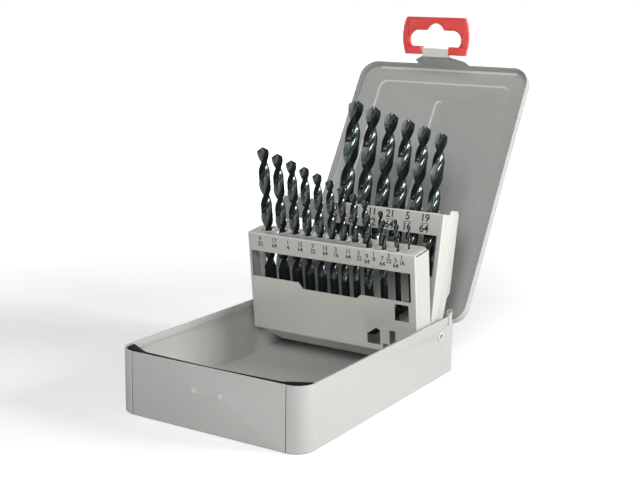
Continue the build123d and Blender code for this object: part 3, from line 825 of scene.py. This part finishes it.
class CASE_OT_marks(bpy.types.Operator):
    """Print the drill sizes on the racks"""
    bl_idname = "drill_case.marks"
    bl_label = "Size figures"

    def execute(self, context):
        marks = settings().marks
        # height of the figures, how far apart they stand in heights, and whether a bar parts them
        styles = {"front": (marks.front_height, 0.58, False),
                  "rear": (marks.rear_height, 0.68, True)}
        for side, drills, face, top, lean in RACKS:
            height, spread, barred = styles[side]
            parts = []
            for name, (along, down) in drills.items():
                over, under = name.split("_")
                place = Vector((along * MM, face - INK_PROUD, top + down * MM))
                parts += fraction(over, under, height, height * spread, barred, place)
            words = joined(parts, side + "_sizes", side + "_rack_body", print_ink())
            settle(words, rack_turn(lean))
        return {"FINISHED"}


# ------------------------------------------------------------------ stage
def white_paper():
    """Matt paper whose own glow, seen only by the camera, pales away from the case."""
    paper = bpy.data.materials.new("White paper")
    paper.use_nodes = True
    tree = paper.node_tree
    surface = tree.nodes["Principled BSDF"]
    surface.inputs["Base Color"].default_value = (0.86, 0.86, 0.86, 1)
    surface.inputs["Roughness"].default_value = 0.9
    surface.inputs["Specular IOR Level"].default_value = 0.0
    glow = add_node(tree, "ShaderNodeEmission", (0, -250))
    both = add_node(tree, "ShaderNodeAddShader", (250, 0))
    path = add_node(tree, "ShaderNodeLightPath", (-500, -250))
    seen = add_node(tree, "ShaderNodeMath", (-250, -250), operation="MULTIPLY")
    where = add_node(tree, "ShaderNodeTexCoord", (-1000, -450))
    reach = add_node(tree, "ShaderNodeVectorMath", (-750, -450), operation="LENGTH")
    lift = add_node(tree, "ShaderNodeMapRange", (-500, -450), **{
        "From Min": 0.25, "From Max": 0.9, "To Min": 0.42, "To Max": 1.2})
    link = tree.links.new
    link(where.outputs["Object"], reach.inputs[0])
    link(reach.outputs["Value"], lift.inputs["Value"])
    link(path.outputs["Is Camera Ray"], seen.inputs[0])
    link(lift.outputs[0], seen.inputs[1])
    link(seen.outputs[0], glow.inputs["Strength"])
    link(surface.outputs[0], both.inputs[0])
    link(glow.outputs[0], both.inputs[1])
    link(both.outputs[0], tree.nodes["Material Output"].inputs["Surface"])
    return paper


def soft_room(room_light):
    """White to the camera and even on the case; what shines sees it dim towards the front."""
    world = bpy.data.worlds.new("Soft room")
    world.use_nodes = True
    tree = world.node_tree
    sky = tree.nodes["Background"]
    sky.inputs["Color"].default_value = (1, 1, 1, 1)
    path = add_node(tree, "ShaderNodeLightPath", (-900, 0))
    way = add_node(tree, "ShaderNodeTexCoord", (-1300, -300))
    front = add_node(tree, "ShaderNodeVectorMath", (-1100, -300), operation="DOT_PRODUCT")
    front.inputs[1].default_value = FRONT_WAY
    walls = add_node(tree, "ShaderNodeMapRange", (-900, -300), **{
        "From Min": -0.8, "From Max": 0.5, "To Min": 1.0, "To Max": 0.05})
    shine = add_node(tree, "ShaderNodeMath", (-650, -200), operation="MULTIPLY")
    seen = add_node(tree, "ShaderNodeMath", (-450, 0), operation="MAXIMUM")
    level = add_node(tree, "ShaderNodeMath", (-250, 0), operation="MAXIMUM")
    level.inputs[1].default_value = room_light
    link = tree.links.new
    link(way.outputs["Generated"], front.inputs[0])
    link(front.outputs["Value"], walls.inputs["Value"])
    link(path.outputs["Is Glossy Ray"], shine.inputs[0])
    link(walls.outputs[0], shine.inputs[1])
    link(path.outputs["Is Camera Ray"], seen.inputs[0])
    link(shine.outputs[0], seen.inputs[1])
    link(seen.outputs[0], level.inputs[0])
    link(level.outputs[0], sky.inputs["Strength"])
    return world


def stage_lamp(name, place, aim_height, size, power):
    """A square lamp aimed at a height over the middle of the case."""
    bpy.ops.object.light_add(type="AREA", location=place)
    lamp = bpy.context.object
    lamp.name = name
    lamp.data.size = size
    lamp.data.energy = power
    aim = Vector((0, 0, aim_height)) - Vector(place)
    lamp.rotation_euler = aim.to_track_quat("-Z", "Y").to_euler()


def stage_camera(stage):
    """A camera at the place, azimuth, elevation, roll and lens of the stage's settings."""
    place = Vector(stage.camera_place)
    back = Vector((sin(stage.azimuth) * cos(stage.elevation),
                   -cos(stage.azimuth) * cos(stage.elevation), sin(stage.elevation)))
    right = Vector((cos(stage.azimuth), sin(stage.azimuth), 0))
    turned = cos(stage.roll) * right + sin(stage.roll) * back.cross(right)
    axes = Matrix((turned, back.cross(turned), back)).transposed()
    bpy.ops.object.camera_add(location=place)
    camera = bpy.context.object
    camera.name = "camera"
    camera.matrix_world = Matrix.Translation(place) @ axes.to_4x4()
    camera.data.lens = stage.lens
    camera.data.sensor_width = 36
    camera.data.clip_start = 0.01
    return camera


class CASE_OT_stage(bpy.types.Operator):
    """Set the floor, lamps, world and camera"""
    bl_idname = "drill_case.stage"
    bl_label = "Stage"

    def execute(self, context):
        stage = settings().stage
        bpy.ops.mesh.primitive_plane_add(size=FLOOR_SIZE, location=(0, 0, -FLOOR_DROP))
        floor = bpy.context.object
        floor.name = "floor"
        floor.data.materials.append(white_paper())
        context.scene.world = soft_room(stage.room_light)
        for lamp in LAMPS:
            stage_lamp(*lamp)
        context.scene.camera = stage_camera(stage)
        context.scene.view_settings.view_transform = "Standard"
        return {"FINISHED"}


# ------------------------------------------------------------------ panel and registration
class DrillCaseSettings(bpy.types.PropertyGroup):
    case: bpy.props.PointerProperty(type=CaseFinish)
    drill: bpy.props.PointerProperty(type=DrillFinish)
    hanger: bpy.props.PointerProperty(type=HangerFinish)
    marks: bpy.props.PointerProperty(type=SizeMarks)
    stage: bpy.props.PointerProperty(type=StageSetup)


STEPS = ("case", "racks", "drills", "marks", "hanger", "stage")


class CASE_PT_panel(bpy.types.Panel):
    """Sizes, colours and steps of the drill case"""
    bl_label = "Drill case"
    bl_idname = "CASE_PT_panel"
    bl_space_type = "VIEW_3D"
    bl_region_type = "UI"
    bl_category = "Drill Case"

    def draw(self, context):
        case = context.scene.drill_case
        for part in (case.case, case.drill, case.hanger, case.marks, case.stage):
            box = self.layout.box()
            for name in part.__annotations__:
                box.prop(part, name)
        for step in STEPS:
            self.layout.operator("drill_case." + step)


CLASSES = (CaseFinish, DrillFinish, HangerFinish, SizeMarks, StageSetup, DrillCaseSettings,
           CASE_OT_case, CASE_OT_racks, CASE_OT_drills, CASE_OT_marks, CASE_OT_hanger,
           CASE_OT_stage, CASE_PT_panel)


def register():
    for item in CLASSES:
        bpy.utils.register_class(item)
    bpy.types.Scene.drill_case = bpy.props.PointerProperty(type=DrillCaseSettings)


def unregister():
    del bpy.types.Scene.drill_case
    for item in reversed(CLASSES):
        bpy.utils.unregister_class(item)


def main():
    register()
    for step in STEPS:
        getattr(bpy.ops.drill_case, step)()


if __name__ == "__main__":
    main()
